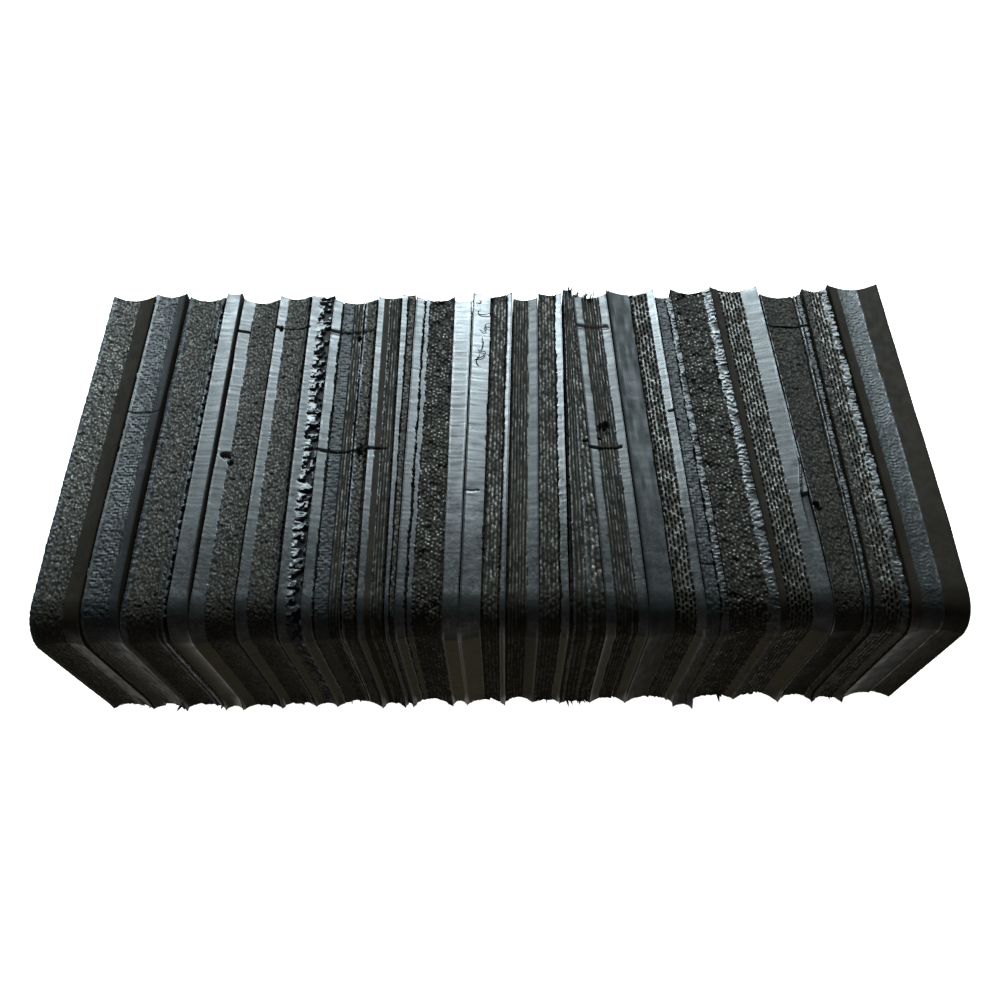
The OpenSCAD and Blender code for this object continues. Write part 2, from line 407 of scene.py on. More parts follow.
def outline(y_front, y_back, top):
    """A pad's side outline, anticlockwise seen from +X, from the foot of its back edge."""
    c, r = CORNER_R, NOSE_R
    points = []

    def line(start, end, normal, step, is_top=False):
        count = max(2, round(math.dist(start, end) / step))
        for t in np.arange(count) / count:
            points.append((*(np.array(start) * (1 - t) + np.array(end) * t), *normal, is_top))

    def arc(centre, radius, first, step):
        count = max(3, round(radius * math.pi / 2 / step))
        for t in np.arange(count) / count:
            angle = math.radians(first + 90 * t)
            ny, nz = math.cos(angle), math.sin(angle)
            points.append((centre[0] + radius * ny, centre[1] + radius * nz, ny, nz, False))

    line((y_back, c), (y_back, top - c), (1, 0), STEP_BACK)
    arc((y_back - c, top - c), c, 0, STEP_CORNER)
    line((y_back - c, top), (y_front + r, top), (0, 1), STEP_TOP, True)
    arc((y_front + r, top - r), r, 90, STEP_NOSE)
    line((y_front, top - r), (y_front, c), (-1, 0), STEP_FRONT)
    arc((y_front + c, c), c, 180, STEP_CORNER)
    line((y_front + c, 0), (y_back - c, 0), (0, -1), STEP_BASE)
    arc((y_back - c, c), c, 270, STEP_CORNER)
    y, z, ny, nz, on_top = np.array(points).T
    s = np.concatenate([[0], np.cumsum(np.hypot(np.diff(y), np.diff(z)))])
    low, high = np.array((y_front, 0.0)), np.array((y_back, top))
    return Outline(y, z, ny, nz, s, y - y.min(), on_top > 0.5, low, high)


def leaning_faces(node):
    """x of a pad's left and of its right face in its CAD mesh, as functions of y."""
    x, y, _ = np.array([v.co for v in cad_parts[node].data.vertices]).T / MM
    ends = y.min(), y.max()
    at_front, at_back = (x[np.abs(y - end) < 0.01] for end in ends)
    return (lambda at: np.interp(at, ends, (at_front.min(), at_back.min())),
            lambda at: np.interp(at, ends, (at_front.max(), at_back.max())))


def near_corner(path):
    """1 at the three small corners of a pad, and 0 well away from them."""
    (front, base), (back, top) = path.low, path.high
    away = [np.hypot(path.y - y, path.z - z) for y, z in ((back, top), (front, base), (back, base))]
    return np.exp(-(np.min(away, 0) / CORNER_FADE) ** 2)[:, None]


def near_nose(path, start, length):
    """0 until start mm behind the round of the nose, and 1 from length mm further forward."""
    return rise(NOSE_R + start - path.from_front, 0, length)[:, None]


def in_cords(layers, which):
    """Where a cut edge, whose layers' numbers are given, is cords and not rubber."""
    return np.array([layer.cut in CORDED for layer in layers])[which]


def cut_surface(layers, width, path, seed):
    """Height, fibre and gloss at every point of a pad's cut edge, and the layer it is on."""
    columns = max(8, round(width / STEP_ACROSS)) + 1
    u = np.linspace(0, width, columns)[None, :]
    s = path.s[:, None]
    shares = np.cumsum([layer.width for layer in layers])
    borders = [np.zeros((len(path.s), 1))]
    for k, (layer, share) in enumerate(zip(layers, shares)):
        wander = 0.15 * noise(s * 0.12, k, seed + 900) + layer.ragged * teeth(s, seed + 10 * k)
        last = k == len(layers) - 1
        borders.append(share / shares[-1] * width + (0 if last else wander))
    which = sum((u > border).astype(int) for border in borders[1:-1]) if len(layers) > 1 else 0
    which = np.broadcast_to(which, (len(path.s), columns))
    height, fibre, gloss = (np.zeros(which.shape) for _ in range(3))
    on_front = rise(-path.ny, 0.5, 1.0)[:, None]
    for k, layer in enumerate(layers):
        inside = which == k
        w = np.clip((u - borders[k]) / np.maximum(borders[k + 1] - borders[k], 0.05), 0, 1)
        h, f, g = (np.broadcast_to(a, which.shape) for a in layer.cut(u, s, w, seed + 40 * k))
        height[inside], fibre[inside] = h[inside], f[inside]
        gloss[inside] = (g * layer.gloss * (1 + (layer.front - 1) * on_front))[inside]
    # Scuffs grow towards the nose, and the nose and the cords of the front are dull.
    marks = noise(u * 0.9, s * 0.9, seed + 950) + noise(u * 2, s * 2, seed + 951)
    scuff = near_nose(path, 50, 50) * np.clip(path.nz, 0, 1)[:, None] * rise(marks, -0.5, 0.6)
    on_nose = near_nose(path, 7, 11) * (path.nz > 0.05)[:, None]
    gloss *= (1 - 0.7 * scuff) * (1 - 0.45 * in_cords(layers, which) * on_front) * (1 - 0.5 * on_nose)
    # Painted shade: the front and the nose, which face away from the light, lose most of their pale cord
    # colour.
    fibre *= 1 - 0.8 * np.maximum(on_front, on_nose)
    # The blade left the front smoother than the top, and the relief dies out at the corners.
    height = (height - 0.03 * scuff) * (1 - 0.65 * on_front) * (1 - 0.8 * near_corner(path))
    return height, fibre, gloss, which


def damage(x, path):
    """Depth, in mm, of the knife cuts and torn holes on the top of a pad."""
    depth = np.zeros(x.shape)
    from_left = x - LEFT
    from_back = (path.high[0] - path.y)[:, None]
    for cut in CUTS:
        inside = (from_left > cut.start) & (from_left < cut.end) & path.on_top[:, None]
        waver = 0.35 * noise(from_left * 0.35, cut.back, 77) + 0.4 * noise(from_left * 0.1, cut.back, 79)
        off = (from_back - cut.back - waver) / cut.half
        depth += np.where(inside, cut.depth * np.exp(-off * off), 0)
    for pit in PITS:
        across = (from_left - pit.across) / pit.half_x
        along = (from_back - pit.back) / pit.half_y
        reach = np.hypot(across, along) + 0.35 * noise(from_left * 0.9, from_back * 0.9, 81)
        depth += np.where(path.on_top[:, None], 1.7 * (1 - rise(reach, 0.55, 1.0)), 0)
    return depth


class Mesh:
    """Vertices in mm, with a fibre and a gloss value each, and faces with a material each."""

    def __init__(self):
        self.vertices, self.fibre, self.gloss = [], [], []
        self.faces, self.cuts = [], []
        self.count = 0

    def add(self, points, fibre=0.0, gloss=0.3):
        """Adds points and returns their numbers."""
        points = np.asarray(points, float).reshape(-1, 3)
        self.vertices.append(points)
        self.fibre.append(np.broadcast_to(np.ravel(fibre), len(points)))
        self.gloss.append(np.broadcast_to(np.ravel(gloss), len(points)))
        self.count += len(points)
        return np.arange(self.count - len(points), self.count)

    def quads(self, a, b, c, d, cut):
        quads = np.stack([np.ravel(n) for n in (a, b, c, d)], 1)
        self.faces.extend(quads.tolist())
        self.cuts.extend(np.broadcast_to(np.ravel(cut), len(quads)).tolist())

    def polygons(self, faces, cut):
        self.faces.extend(faces)
        self.cuts.extend([cut] * len(faces))

    def band(self, first, second, cut):
        """Joins two closed loops of the same length."""
        self.quads(first, second, np.roll(second, -1), np.roll(first, -1), cut)

    def piece(self, name, materials):
        """Makes the Blender object. materials gives one for each cut number."""
        data = bpy.data.meshes.new(name)
        data.from_pydata((np.concatenate(self.vertices) * MM).tolist(), [], self.faces)
        for key, values in (("fibre", self.fibre), ("gloss", self.gloss)):
            layer = data.attributes.new(key, "FLOAT", "POINT")
            layer.data.foreach_set("value", np.concatenate(values).astype(np.float32))
        used = sorted(set(self.cuts))
        for number in used:
            data.materials.append(materials[number])
        slots = {number: slot for slot, number in enumerate(used)}
        data.polygons.foreach_set("material_index", [slots[c] for c in self.cuts])
        data.shade_smooth()
        data.set_sharp_from_angle(angle=math.radians(60))
        data.validate()
        made = bpy.data.objects.new(name, data)
        bpy.context.scene.collection.objects.link(made)
        return made


# A face whose middle is nearer the axis of a hole than this share of its radius lies in it. The
# holes have 56 corners: faces inside reach 0.9958, and those outside start at 0.9984.
INSIDE_HOLE = 0.997


def circle(centre, radius, count=56):
    angle = np.arange(count) * 2 * np.pi / count
    return np.stack([centre[0] + radius * np.cos(angle), centre[1] + radius * np.sin(angle)], 1)


def fill_face(mesh, loops, extra, holes, flip):
    """Fills a pad's side face between its outer loop and its holes, through the extra points.
    Each loop and the extra points are given as (numbers, points in y and z)."""
    numbers = np.concatenate([n for n, _ in loops] + [extra[0]])
    points = np.concatenate([p for _, p in loops] + [extra[1]])
    edges, first = [], 0
    for loop_numbers, _ in loops:
        n = len(loop_numbers)
        edges += [(first + k, first + (k + 1) % n) for k in range(n)]
        first += n
    out = delaunay_2d_cdt([Vector(p) for p in points], edges, [], 1, 1e-6)
    place = np.array([p[:] for p in out[0]])
    faces = np.array(out[2])
    middle = place[faces].mean(1)
    solid = np.ones(len(faces), bool)
    for centre, radius in holes:
        solid &= np.hypot(*(middle - centre).T) > radius * INSIDE_HOLE
    owner = np.array([numbers[ids[0]] for ids in out[3]])
    faces = owner[faces[solid]]
    mesh.polygons((faces[:, ::-1] if flip else faces).tolist(), FACE)


def end_relief(y, z, seed):
    """Bow and buffing marks of the outer face of an end pad, in mm inwards."""
    bow = 0.35 + 0.3 * noise(y * 0.03, z * 0.04, seed)
    scuff = 0.10 * noise((y + 0.6 * z) * 0.5, (z - 0.6 * y) * 0.07, seed + 1)
    return bow + scuff + 0.05 * noise(y * 0.6, z * 0.6, seed + 2)


def thorn(mesh, root, direction, length, radius, rng):
    """A tapering, bent fibre or burr with five sides and a point."""
    direction = np.array(direction, float) / np.linalg.norm(direction)
    side = np.cross(direction, (0.3, 0.5, 0.81))
    side /= np.linalg.norm(side)
    other = np.cross(direction, side)
    bend = rng.normal(0, 0.35, 3) * length
    angle = np.arange(5) * 2 * np.pi / 5
    ring = np.cos(angle)[:, None] * side + np.sin(angle)[:, None] * other
    previous = None
    for t in (0.0, 0.35, 0.7):
        centre = np.array(root) + direction * length * t + bend * t * t
        points = centre + ring * radius * (1 - 0.75 * t)
        points[:, 2] = np.maximum(points[:, 2], 0.1 * t)
        loop = mesh.add(points, 0.05, 0.3)
        if previous is None:
            mesh.polygons([loop[::-1].tolist()], THORN)
        else:
            mesh.quads(previous, np.roll(previous, -1), np.roll(loop, -1), loop, THORN)
        previous = loop
    end = np.array(root) + direction * length + bend
    tip = mesh.add((end[0], end[1], max(end[2], 0.1)))[0]
    mesh.polygons([[a, b, tip] for a, b in zip(previous, np.roll(previous, -1))], THORN)


def thread(mesh, start, heading, length, radius, rng, height_at):
    """A thin torn thread that wriggles over the top, dipping into it at both ends."""
    stride = 0.45
    count = int(length / stride)
    x, y = start
    turn = 0.0
    previous = None
    for step in range(count):
        share = step / (count - 1)
        turn = 0.8 * turn + rng.normal(0, 0.28)
        heading += turn
        x += stride * math.cos(heading)
        y += stride * math.sin(heading)
        r = radius * (0.25 + 0.75 * math.sin(math.pi * share))
        side = np.array((-math.sin(heading), math.cos(heading), 0))
        lift = height_at + 0.35 * math.sin(math.pi * share) - 0.25
        ring = [np.array((x, y, lift)) + r * (side * c + np.array((0, 0, 1.0)) * s)
                for c, s in ((1, 0), (0, 1), (-1, 0), (0, -1))]
        loop = mesh.add(ring, 0.0, 0.1)
        if previous is None:
            mesh.polygons([loop.tolist()], THORN)
        else:
            mesh.band(previous, loop, THORN)
        previous = loop
    mesh.polygons([previous[::-1].tolist()], THORN)


def add_burrs(mesh, number, x, y, path, corded, seed):
    """Burrs that the blade left along the lower front edge, mostly on the cords."""
    rng = np.random.default_rng(seed)
    foot = np.flatnonzero((path.ny < -0.5) & (path.nz < -0.3))[0]
    for column in range(1, x.shape[1] - 1):
        if rng.random() > (BURRS.get(number, 0.02) if corded[foot, column] else 0.005) * COARSE:
            continue
        root = (x[foot, column], y[foot, column] + 0.8, path.z[foot] + 1.0)
        lean = (rng.normal(0, 0.5), -1, rng.uniform(-0.4, 0.0))
        thorn(mesh, root, lean, rng.uniform(1.2, 2.4), rng.uniform(0.4, 0.9), rng)


def add_loose_ends(mesh, number, x, path, seed):
    """Torn cords at the top of the back edge."""
    start, end, count, length = LOOSE_ENDS[number]
    rng = np.random.default_rng(seed)
    corner = np.flatnonzero(path.on_top)[0]
    for _ in range(count):
        share = rng.uniform(start, end)
        across = x[corner, 0] * (1 - share) + x[corner, -1] * share
        root = (across, path.y[corner] - rng.uniform(0.2, 2.0), path.z[corner] - 1.2)
        lean = (rng.normal(0.25, 0.45), rng.uniform(0.2, 1.0), rng.uniform(0.4, 1.0))
        thorn(mesh, root, lean, length * rng.uniform(0.5, 1.3), rng.uniform(0.15, 0.42), rng)


def add_threads(mesh, number, x, z, path, seed):
    """Threads lying on the top of a pad."""
    rng = np.random.default_rng(seed)
    top = z[path.on_top].max(1).mean() - 0.6
    for from_left, from_back, length in THREADS[number]:
        start = (x[0, 0] + from_left, path.high[0] - from_back)
        thread(mesh, start, -1.57 + rng.normal(0, 0.5), length, 0.22, rng, top)


def skirt(number, x, v, path, corded, seed):
    """How far the lower front edge stands out, in mm: drawn out at the cusps and ragged."""
    near = (path.from_front < 1.5)[:, None]
    fade, lip = (np.exp(-((path.z - 0.3) / reach) ** 2)[:, None] * near for reach in (5.0, 1.5))
    left, right = 0.3 + 0.6 * np.abs(lattice(5)[number, 1:3])
    left, right = (0 if number == 0 else left), (0 if number == len(PADS) - 1 else right)
    cusps = 1.7 * (left * (1 - v) ** 5 + right * v ** 5)
    phase = x / 11 + 0.6 * noise(x * 0.09, 0.5, seed)
    saw = (phase % 1.0) ** 1.5 * (0.4 + 0.9 * np.abs(noise(np.floor(phase), 1.5, seed + 1)))
    ragged = 0.5 * np.clip(noise(x * 0.5, 1.5, seed + 1), 0, 1)
    ragged += 0.5 * np.clip(noise(x * 1.2, 2.5, seed + 2) - 0.2, 0, 1)
    return fade * (FOOT_OUT[number] + cusps + saw) + lip * ragged * np.where(corded, 1.4, 0.7)


def press(values, limit, side, where):
    """Leaves a twentieth of how far the values go past a limit on one side of them."""
    past = side * (values - limit)
    return np.where(where[:, None] & (past > 0), limit + side * 0.05 * past, values)


def tuck_corners(y, z, path):
    """Presses flat the folds that the hollows make at the three small corners of a pad."""
    for side_y, side_z in ((1, 1), (-1, -1), (1, -1)):
        from_y = np.abs(path.y - (path.y.max() if side_y > 0 else path.y.min()))
        from_z = np.abs(path.z - (path.z.max() if side_z > 0 else path.z.min()))
        upright, level = path.ny * side_y > 0.999, path.nz * side_z > 0.999
        limit_y = y[np.argmin(np.where(upright, from_z, np.inf))]
        limit_z = z[np.argmin(np.where(level, from_y, np.inf))]
        near = (from_y < CORNER_REACH) & (from_z < CORNER_REACH)
        y = press(y, limit_y, side_y, near & ~upright)
        z = press(z, limit_z, side_z, near & ~level)
    return y, z


def face_points(path, holes):
    """A grid of points on the outer face of an end pad, clear of its border and of its holes."""
    step, border = 1.3 * COARSE, 6.5
    spans = (np.arange(a + 7, b - border, step) for a, b in zip(path.low, path.high))
    points = np.stack(np.meshgrid(*spans), -1).reshape(-1, 2)
    for centre, radius in holes:
        points = points[np.hypot(*(points - centre).T) > radius + 0.6 * step]
    nose = np.array([path.low[0] + NOSE_R, path.high[1] - NOSE_R])
    in_corner = (points[:, 0] < nose[0]) & (points[:, 1] > nose[1])
    return points[~(in_corner & (np.hypot(*(points - nose).T) > NOSE_R - border))]


def add_side_face(mesh, cusps, path, side, face, gap, is_end, rods, seed):
    """A pad's left (side -1) or right (side 1) face: in from its cusps to where the pads touch, and
    then flat to the holes. Returns the loop of vertices around each hole."""

    def place(points, inset, gloss=0.35):
        inset = end_relief(*points.T, seed) if is_end else inset
        return mesh.add(np.column_stack([face(points[:, 0]) - side * inset, points]), 0.0, gloss)

    middle, half = (path.low + path.high) / 2, (path.high - path.low) / 2
    profile = np.stack([path.y, path.z], 1)
    previous = cusps
    for depth, open_share in ((1.6, 0.55), (5.0, 0.0)):
        ring = middle + (profile - middle) * (1 - depth / half)
        loop = place(ring, gap * open_share + 0.02, 0.35 if is_end else 0.0)
        wall = FACE if is_end else CUT_KINDS.index(seam)
        mesh.band(*((previous, loop) if side < 0 else (loop, previous)), wall)
        previous = loop
    holes = [(rod.centre, RECESS_R if is_end else rod.radius + HOLE_PLAY) for rod in rods]
    circles = [circle(*hole) for hole in holes]
    rims = [place(points, 0.02) for points in circles]
    inner = face_points(path, holes) if is_end else np.zeros((0, 2))
    extra = (place(inner, 0.02), inner)
    fill_face(mesh, [(previous, ring), *zip(rims, circles)], extra, holes, side < 0)
    return rims


def add_rod_hole(mesh, rod, left_rim, right_rim, first, last):
    """The hole for a rod from face to face, stepped at the recess of the first and last pad."""
    bore, (near, far) = rod.radius + HOLE_PLAY, rod.seats
    seats = [(RECESS_R, near), (bore, near)] if first else [(bore, far), (RECESS_R, far)] if last else []
    loops = [left_rim]
    for radius, seat in seats:
        points = circle(rod.centre, radius)
        loops.append(mesh.add(np.column_stack([np.full(len(points), seat), points])))
    loops.append(right_rim)
    for a, b in zip(loops, loops[1:]):
        mesh.band(a, b, FACE)


def build_pad(number, rods, materials):
    """One pad, standing for its CAD node, with every layer of its cut edge in relief."""
    node = f"casing_pad_{number + 1:02d}"
    seed = 1000 * (number + 1)
    first, last = number == 0, number == len(PADS) - 1
    (_, y_front, _), (_, y_back, top) = box_of(node)
    path = outline(y_front, y_back, top)
    faces = leaning_faces(node)
    left, right = (face(path.y)[:, None] for face in faces)
    width = float((right - left).mean())
    height, fibre, gloss, which = cut_surface(PADS[number], width, path, seed)
    corded = in_cords(PADS[number], which)

    # Across the pad: the joints beside it draw its cusps back from the neighbouring pads.
    gaps = [joint / 2 for joint in JOINTS[number:number + 2]]
    v = np.linspace(0, 1, which.shape[1])[None, :]
    uneven = 1 + 0.35 * noise(path.s * 0.08, 3.5, seed + 5)[:, None]
    uneven *= 1 - 0.75 * near_nose(path, 4, NOSE_R)
    x = (left + gaps[0] * uneven) * (1 - v) + (right - gaps[1] * uneven) * v

    # Out of the edge: hollow between two cusps, then the layers' own relief.
    hollow = DISH * width * min(1, width / 12) * (1 - (2 * v - 1) ** 2)
    cusp = 0.25 * np.exp(-(v * width / 0.4) ** 2) + 0.25 * np.exp(-((1 - v) * width / 0.4) ** 2)
    roll = 0.25 * noise(path.s * 0.035, 6.5, seed + 6)[:, None]
    set_out = rise(-path.ny, 0.2, 0.9)[:, None] * (STAND_OUT[number] - 0.3)
    droop = SAG * near_nose(path, 26, 32) * np.clip(path.nz, 0, 1)[:, None]
    out = np.minimum(height - hollow + cusp + roll + set_out - droop - damage(x, path), 0.9)
    y = path.y[:, None] + path.ny[:, None] * out
    z = path.z[:, None] + path.nz[:, None] * out
    y, z = tuck_corners(y, z, path)
    y, z = y - skirt(number, x, v, path, corded, seed + 3), np.maximum(z, 0.0)

    # Painted highlight: the pale cord colour is raised along the rounded back top edge, where the light
    # from behind catches it.
    wear_and_painted_highlight = 0.45 * ((path.ny > 0.2) & (path.nz > 0.2))[:, None]
    mesh = Mesh()
    grid = mesh.add(np.stack([x, y, z], -1), np.maximum(fibre, wear_and_painted_highlight), gloss).reshape(x.shape)
    kinds = np.array([CUT_KINDS.index(layer.cut) for layer in PADS[number]])[which]
    ahead = np.roll(grid, -1, 0)
    mesh.quads(grid[:, :-1], ahead[:, :-1], ahead[:, 1:], grid[:, 1:], kinds[:, :-1])
    rims = [
        add_side_face(mesh, grid[:, edge], path, side, faces[edge], gaps[edge], is_end, rods, seed + 7)
        for side, edge, is_end in ((-1, 0, first), (1, -1, last))
    ]
    for rod, left_rim, right_rim in zip(rods, *rims):
        add_rod_hole(mesh, rod, left_rim, right_rim, first, last)

    add_burrs(mesh, number, x, y, path, corded, seed + 8)
    if number in LOOSE_ENDS:
        add_loose_ends(mesh, number, x, path, seed + 9)
    if number in THREADS:
        add_threads(mesh, number, x, z, path, seed + 10)
    pad = mesh.piece(f"{node}_rubber", materials)
    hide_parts(node)
    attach(pad, "root")


# ------------------------------------------------------------------ tie rods

Rod = namedtuple("Rod", "name centre radius ends seats")
THREAD_PITCH = 1.95
THREAD_DEPTH = 0.75
THREAD_LENGTH = 28.0
BEVEL_LENGTH, BEVEL_DEPTH = 1.0, 1.1


def read_rod(name):
    """A rod's place and size from its CAD node. Its seats are the floors of the recesses, which
    lie one washer's thickness in from the washers' outer faces."""
    rod_low, rod_high = box_of(name)
    washer_low, washer_high = box_of("rod_washers")
    seats = washer_low[0] + WASHER_T, washer_high[0] - WASHER_T
    centre = (rod_low[1:] + rod_high[1:]) / 2
    return Rod(name, centre, (rod_high[1] - rod_low[1]) / 2, (rod_low[0], rod_high[0]), seats)


def build_rod(rod, material):
    """The rod with a rolled thread at both ends, standing for its CAD node."""
    around = 40
    angle = np.arange(around) * 2 * np.pi / around
    near, far = rod.ends
    fine = THREAD_PITCH / 8
    along = np.concatenate([
        np.arange(near + BEVEL_LENGTH, near + THREAD_LENGTH, fine),
        np.linspace(near + THREAD_LENGTH, far - THREAD_LENGTH, 12),
        np.arange(far - THREAD_LENGTH, far - BEVEL_LENGTH, fine)[1:],
    ])
    turn = (along[:, None] / THREAD_PITCH - angle[None, :] / (2 * np.pi)) % 1.0
    inward = np.minimum(along - near, far - along)
    fade = np.clip((THREAD_LENGTH - inward) / 2.0, 0, 1)[:, None]
    groove = THREAD_DEPTH * np.clip(1.25 * np.abs(2 * turn - 1) - 0.125, 0, 1) * fade
    radius = rod.radius - groove
    y = rod.centre[0] + radius * np.cos(angle)
    z = rod.centre[1] + radius * np.sin(angle)
    mesh = Mesh()
    shaft = mesh.add(np.stack([np.broadcast_to(along[:, None], y.shape), y, z], -1)).reshape(y.shape)
    ahead = np.roll(shaft, -1, 1)
    mesh.quads(shaft[:-1], ahead[:-1], ahead[1:], shaft[1:], 0)
    for end, loop, flip in ((near, shaft[0], True), (far, shaft[-1], False)):
        points = circle(rod.centre, rod.radius - BEVEL_DEPTH, around)
        cap = mesh.add(np.column_stack([np.full(around, end), points]))
        mesh.band(*((cap, loop) if flip else (loop, cap)), 0)
        mesh.polygons([(cap[::-1] if flip else cap).tolist()], 0)
    made = mesh.piece(f"{rod.name}_threaded", {0: material})
    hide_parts(rod.name)
    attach(made, "root")


# ------------------------------------------------------------------ materials

class Nodes:
    """The nodes of a new material or world, and short ways to add to them."""

    def __init__(self, owner):
        owner.use_nodes = True
        self.owner, self.tree = owner, owner.node_tree

    def feed(self, node, inputs):
        """Links each value to its input of the node, or sets it there if it isn't a socket."""
        for name, value in inputs.items():
            socket = node.inputs[name]
            if isinstance(value, bpy.types.NodeSocket):
                self.tree.links.new(value, socket)
            else:
                socket.default_value = (*value, 1) if socket.type == "RGBA" else value

    def add(self, kind, output, inputs, **settings):
        """Adds a node and returns one of its outputs."""
        node = self.tree.nodes.new(f"ShaderNode{kind}")
        for name, value in settings.items():
            setattr(node, name, value)
        self.feed(node, inputs)
        return node.outputs[output]

    def attribute(self, name):
        return self.add("Attribute", "Fac", {}, attribute_name=name)

    def stretched(self, scale):
        place = self.add("TexCoord", "Object", {})
        return self.add("Mapping", "Vector", {"Vector": place, "Scale": scale})

    def noise(self, scale, detail=3.0, stretch=(1, 1, 1)):
        place = self.stretched(stretch)
        return self.add("TexNoise", "Fac", {"Vector": place, "Scale": scale, "Detail": detail})

    def ramp(self, value, start, end, low_value=0.0, high_value=1.0):
        span = {"From Min": start, "From Max": end, "To Min": low_value, "To Max": high_value}
        return self.add("MapRange", "Result", {"Value": value, **span})

    def math(self, operation, *values):
        return self.add("Math", 0, dict(enumerate(values)), operation=operation)

    def mix(self, factor, a, b):
        return self.add("Mix", "Result", {"Factor": factor, "A": a, "B": b}, data_type="RGBA")

    def bump(self, height, depth, strength):
        """The surface's normal when it follows the height. depth is in mm."""
        inputs = {"Height": height, "Distance": depth * MM, "Strength": strength}
        return self.add("Bump", "Normal", inputs)

    def shade(self, inputs):
        """Feeds the material's own shader, and returns the material."""
        self.feed(self.tree.nodes["Principled BSDF"], inputs)
        return self.owner


Rubber = namedtuple("Rubber", "cuts base pale fibre rough specular tint grain grain_depth")

# base and pale are the two tones that mottle the rubber, and fibre is the colour of cut cord.
# rough and specular are given for where the mesh is dull and for where it is glossy.
RUBBERS = {
    "skin_rubber": Rubber((skin, curled, scaly, rim, bead),
                          (0.008, 0.008, 0.0075), (0.014, 0.0145, 0.014), (0.08, 0.08, 0.075),
                          (0.62, 0.31), (0.15, 1.03), (1.0, 1.0, 1.0), 1400, 0.010),
    "matt_rubber": Rubber((dull, seam),
                          (0.011, 0.008, 0.0055), (0.016, 0.012, 0.008), (0.05, 0.05, 0.04),
                          (0.70, 0.50), (0.10, 0.50), (1.0, 0.92, 0.80), 900, 0.02),
    "satin_rubber": Rubber((slate,),
                           (0.007, 0.008, 0.008), (0.013, 0.014, 0.014), (0.06, 0.06, 0.06),
                           (0.65, 0.36), (0.20, 0.60), (1.0, 1.0, 1.0), 1100, 0.02),
    "ply_rubber": Rubber((hatch, bowed),
                         (0.008, 0.009, 0.009), (0.016, 0.017, 0.017), (0.08, 0.085, 0.085),
                         (0.62, 0.34), (0.15, 0.85), (1.0, 1.0, 1.0), 1300, 0.03),
    "cord_rubber": Rubber((speckle, coarse, dashes, rows, lines),
                          (0.009, 0.0075, 0.0055), (0.018, 0.0155, 0.0115), (0.075, 0.070, 0.060),
                          (0.75, 0.36), (0.06, 1.15), (1.0, 0.95, 0.86), 1500, 0.03),
    "torn_rubber": Rubber((torn,),
                          (0.006, 0.006, 0.006), (0.013, 0.013, 0.013), (0.10, 0.10, 0.10),
                          (0.70, 0.30), (0.05, 0.95), (1.0, 1.0, 1.0), 1200, 0.03),
}
# Layers that are glossier than others of their kind take the gloss up to this.
GLOSSIEST = 1.6


def make_rubber(name, look):
    """Rubber whose colour, roughness and shine follow the fibre and gloss of the mesh. The fibre value
    also carries a painted highlight along the back top edge and painted shade on the front and nose.
    """
    n = Nodes(bpy.data.materials.new(name))
    tone = n.mix(n.ramp(n.noise(90, 4), 0.35, 0.65), look.base, look.pale)
    speck = n.math("MULTIPLY", n.attribute("fibre"), n.ramp(n.noise(420), 0.3, 0.6, 0.35, 1.0))
    gloss = n.attribute("gloss")
    wear = n.ramp(n.noise(260), 0.3, 0.7, -0.05, 0.08)
    weak, strong = look.specular
    strongest = weak + GLOSSIEST * (strong - weak)
    return n.shade({
        "Base Color": n.mix(speck, tone, look.fibre),
        "Roughness": n.math("ADD", n.ramp(gloss, 0.0, 1.0, *look.rough), wear),
        "Specular IOR Level": n.ramp(gloss, 0.0, GLOSSIEST, weak, strongest),
        "Specular Tint": look.tint,
        "Normal": n.bump(n.noise(look.grain, 4), look.grain_depth, 0.8),
    })


def make_end_face_rubber():
    """The buffed outer face of a casing: cord pattern showing through, scuffs and dust."""
    n = Nodes(bpy.data.materials.new("end_face_rubber"))
    tone = n.mix(n.ramp(n.noise(45, 5), 0.35, 0.65), (0.018, 0.018, 0.017), (0.036, 0.036, 0.034))
    dust = n.math("MULTIPLY", n.ramp(n.noise(600, 4), 0.55, 0.75), n.ramp(n.noise(120), 0.45, 0.7))
    place = n.stretched((0.05, 1, 0.8))
    wave = n.add("TexWave", "Fac", {"Vector": place, "Scale": 190, "Distortion": 1.2},
                 wave_type="BANDS", bands_direction="DIAGONAL")
    height = n.math("ADD", n.math("MULTIPLY", wave, 0.5), n.noise(900, 3, (1, 0.12, 1)))
    return n.shade({
        "Base Color": n.mix(n.math("MULTIPLY", dust, 0.5), tone, (0.13, 0.125, 0.115)),
        "Roughness": n.ramp(n.noise(200, 4), 0.3, 0.7, 0.42, 0.72),
        "Specular IOR Level": 0.4,
        "Normal": n.bump(height, 0.12, 0.8),
    })


def make_steel(name, base, rust):
    """Dull zinc plate, mottled darker in places, with fine scratches and a little rust."""
    n = Nodes(bpy.data.materials.new(name))
    zinc = n.mix(n.ramp(n.noise(160, 4), 0.3, 0.7), base, tuple(0.72 * c for c in base))
    spots = n.ramp(n.noise(330, 5), 0.60, 0.70, 0.0, rust)
    scratches = n.math("ADD", n.noise(1500), n.noise(500, 3, (1, 0.1, 1)))
    return n.shade({
        "Base Color": n.mix(spots, zinc, (0.13, 0.060, 0.028)),
        "Metallic": n.ramp(spots, 0.0, 1.0, 1.0, 0.3),
        "Roughness": n.ramp(n.noise(240, 4), 0.3, 0.7, 0.30, 0.55),
        "Normal": n.bump(scratches, 0.03, 0.6),
    })


# ------------------------------------------------------------------ stage and light

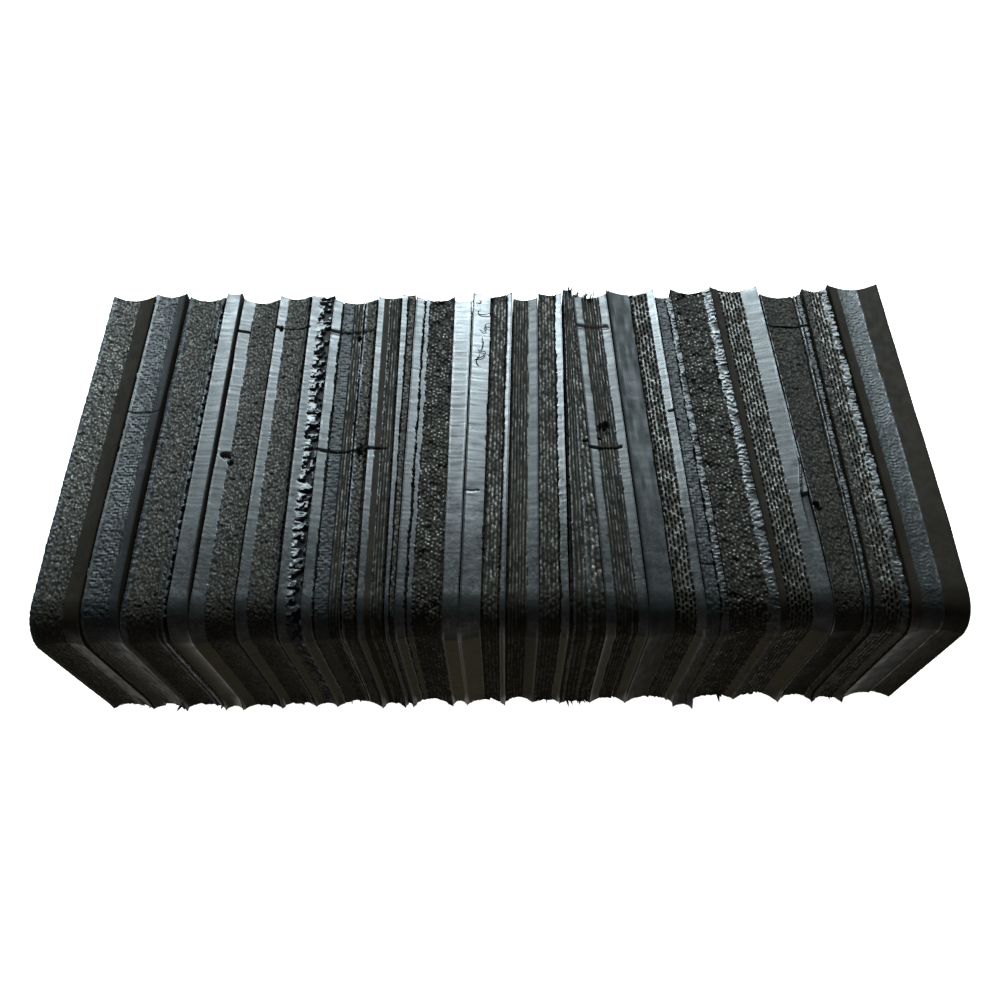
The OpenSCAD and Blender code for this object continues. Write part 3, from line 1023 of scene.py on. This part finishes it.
def make_stage():
    """A pale floor, and a pale dome that only the camera sees."""
    bpy.ops.mesh.primitive_circle_add(vertices=96, radius=6, fill_type="NGON", location=(0, 0, -0.0003))
    floor = bpy.context.object
    floor.name = "floor"
    n = Nodes(bpy.data.materials.new("pale_floor"))
    tone = n.mix(n.noise(3, 2), (0.80, 0.80, 0.79), (0.83, 0.83, 0.82))
    floor.data.materials.append(
        n.shade({"Base Color": tone, "Roughness": 0.9, "Specular IOR Level": 0.1})
    )
    floor.visible_diffuse = False
    floor.visible_glossy = False

    bpy.ops.mesh.primitive_uv_sphere_add(segments=48, ring_count=24, radius=6)
    dome = bpy.context.object
    dome.name = "dome"
    n = Nodes(bpy.data.materials.new("pale_dome"))
    n.tree.nodes.remove(n.tree.nodes["Principled BSDF"])
    glow = n.add("Emission", 0, {"Color": (1, 1, 1)})
    n.feed(n.tree.nodes["Material Output"], {"Surface": glow})
    dome.data.materials.append(n.owner)
    for kind in ("diffuse", "glossy", "transmission", "volume_scatter", "shadow"):
        setattr(dome, f"visible_{kind}", False)
    return floor


def make_lights(floor):
    """A wide window low behind the block, and a light for the floor alone."""
    data = bpy.data.lights.new("window", "AREA")
    data.shape = "RECTANGLE"
    data.size, data.size_y = 1.9, 0.38
    data.energy, data.color = 41, (0.77, 0.93, 1.0)
    window = bpy.data.objects.new("window", data)
    elevation, distance = math.radians(40), 1.3
    away = Vector((0, math.cos(elevation), math.sin(elevation)))
    window.location = Vector((0, 0, HEIGHT / 2 * MM)) + away * distance
    window.rotation_euler = away.to_track_quat("Z", "Y").to_euler()
    wash = bpy.data.objects.new("floor_wash", bpy.data.lights.new("floor_wash", "SUN"))
    wash.data.energy = 4.2
    for light in (window, wash):
        bpy.context.scene.collection.objects.link(light)
    only_floor = bpy.data.collections.new("floor_only")
    only_floor.objects.link(floor)
    wash.light_linking.receiver_collection = only_floor
    wash.light_linking.blocker_collection = only_floor
    bpy.context.scene.view_settings.view_transform = "Standard"


def make_world():
    """A dim room: dark above, a warm dim glow from below, and paler low down on the other sides."""
    n = Nodes(bpy.data.worlds.new("studio"))
    direction = n.add("TexCoord", "Generated", {})
    x, y, z = (n.add("SeparateXYZ", axis, {0: direction}) for axis in "XYZ")
    sideways = n.ramp(n.math("ABSOLUTE", x), 0.335, 0.46)
    below = n.mix(sideways, (0.092, 0.083, 0.052), (0.7, 0.69, 0.66))
    below = n.mix(n.ramp(y, 0.35, 0.75), below, (0.55, 0.56, 0.55))
    around = n.mix(n.ramp(y, -0.7, -0.96), (0.05, 0.055, 0.055), (0.34, 0.34, 0.33))
    colour = n.mix(n.ramp(z, -0.55, -0.15), below, around)
    n.feed(n.tree.nodes["Background"], {"Color": colour})
    bpy.context.scene.world = n.owner


# ------------------------------------------------------------------ the object

make_camera()

RODS = [read_rod(name) for name in ("tie_rod_front", "tie_rod_rear")]
pad_materials = {FACE: make_end_face_rubber()}
for rubber_name, look in RUBBERS.items():
    rubber = make_rubber(rubber_name, look)
    pad_materials.update((CUT_KINDS.index(cut), rubber) for cut in look.cuts)
pad_materials[THORN] = pad_materials[CUT_KINDS.index(torn)]
for pad_number in range(len(PADS)):
    build_pad(pad_number, RODS, pad_materials)

rod_steel = make_steel("rod_steel", (0.55, 0.55, 0.54), 0.8)
zinc_steel = make_steel("zinc_steel", (0.66, 0.67, 0.69), 0.5)
for rod in RODS:
    build_rod(rod, rod_steel)
for part in ("rod_washers", "jam_nuts"):
    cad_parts[part].data.materials.clear()
    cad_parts[part].data.materials.append(zinc_steel)

make_world()
make_lights(make_stage())
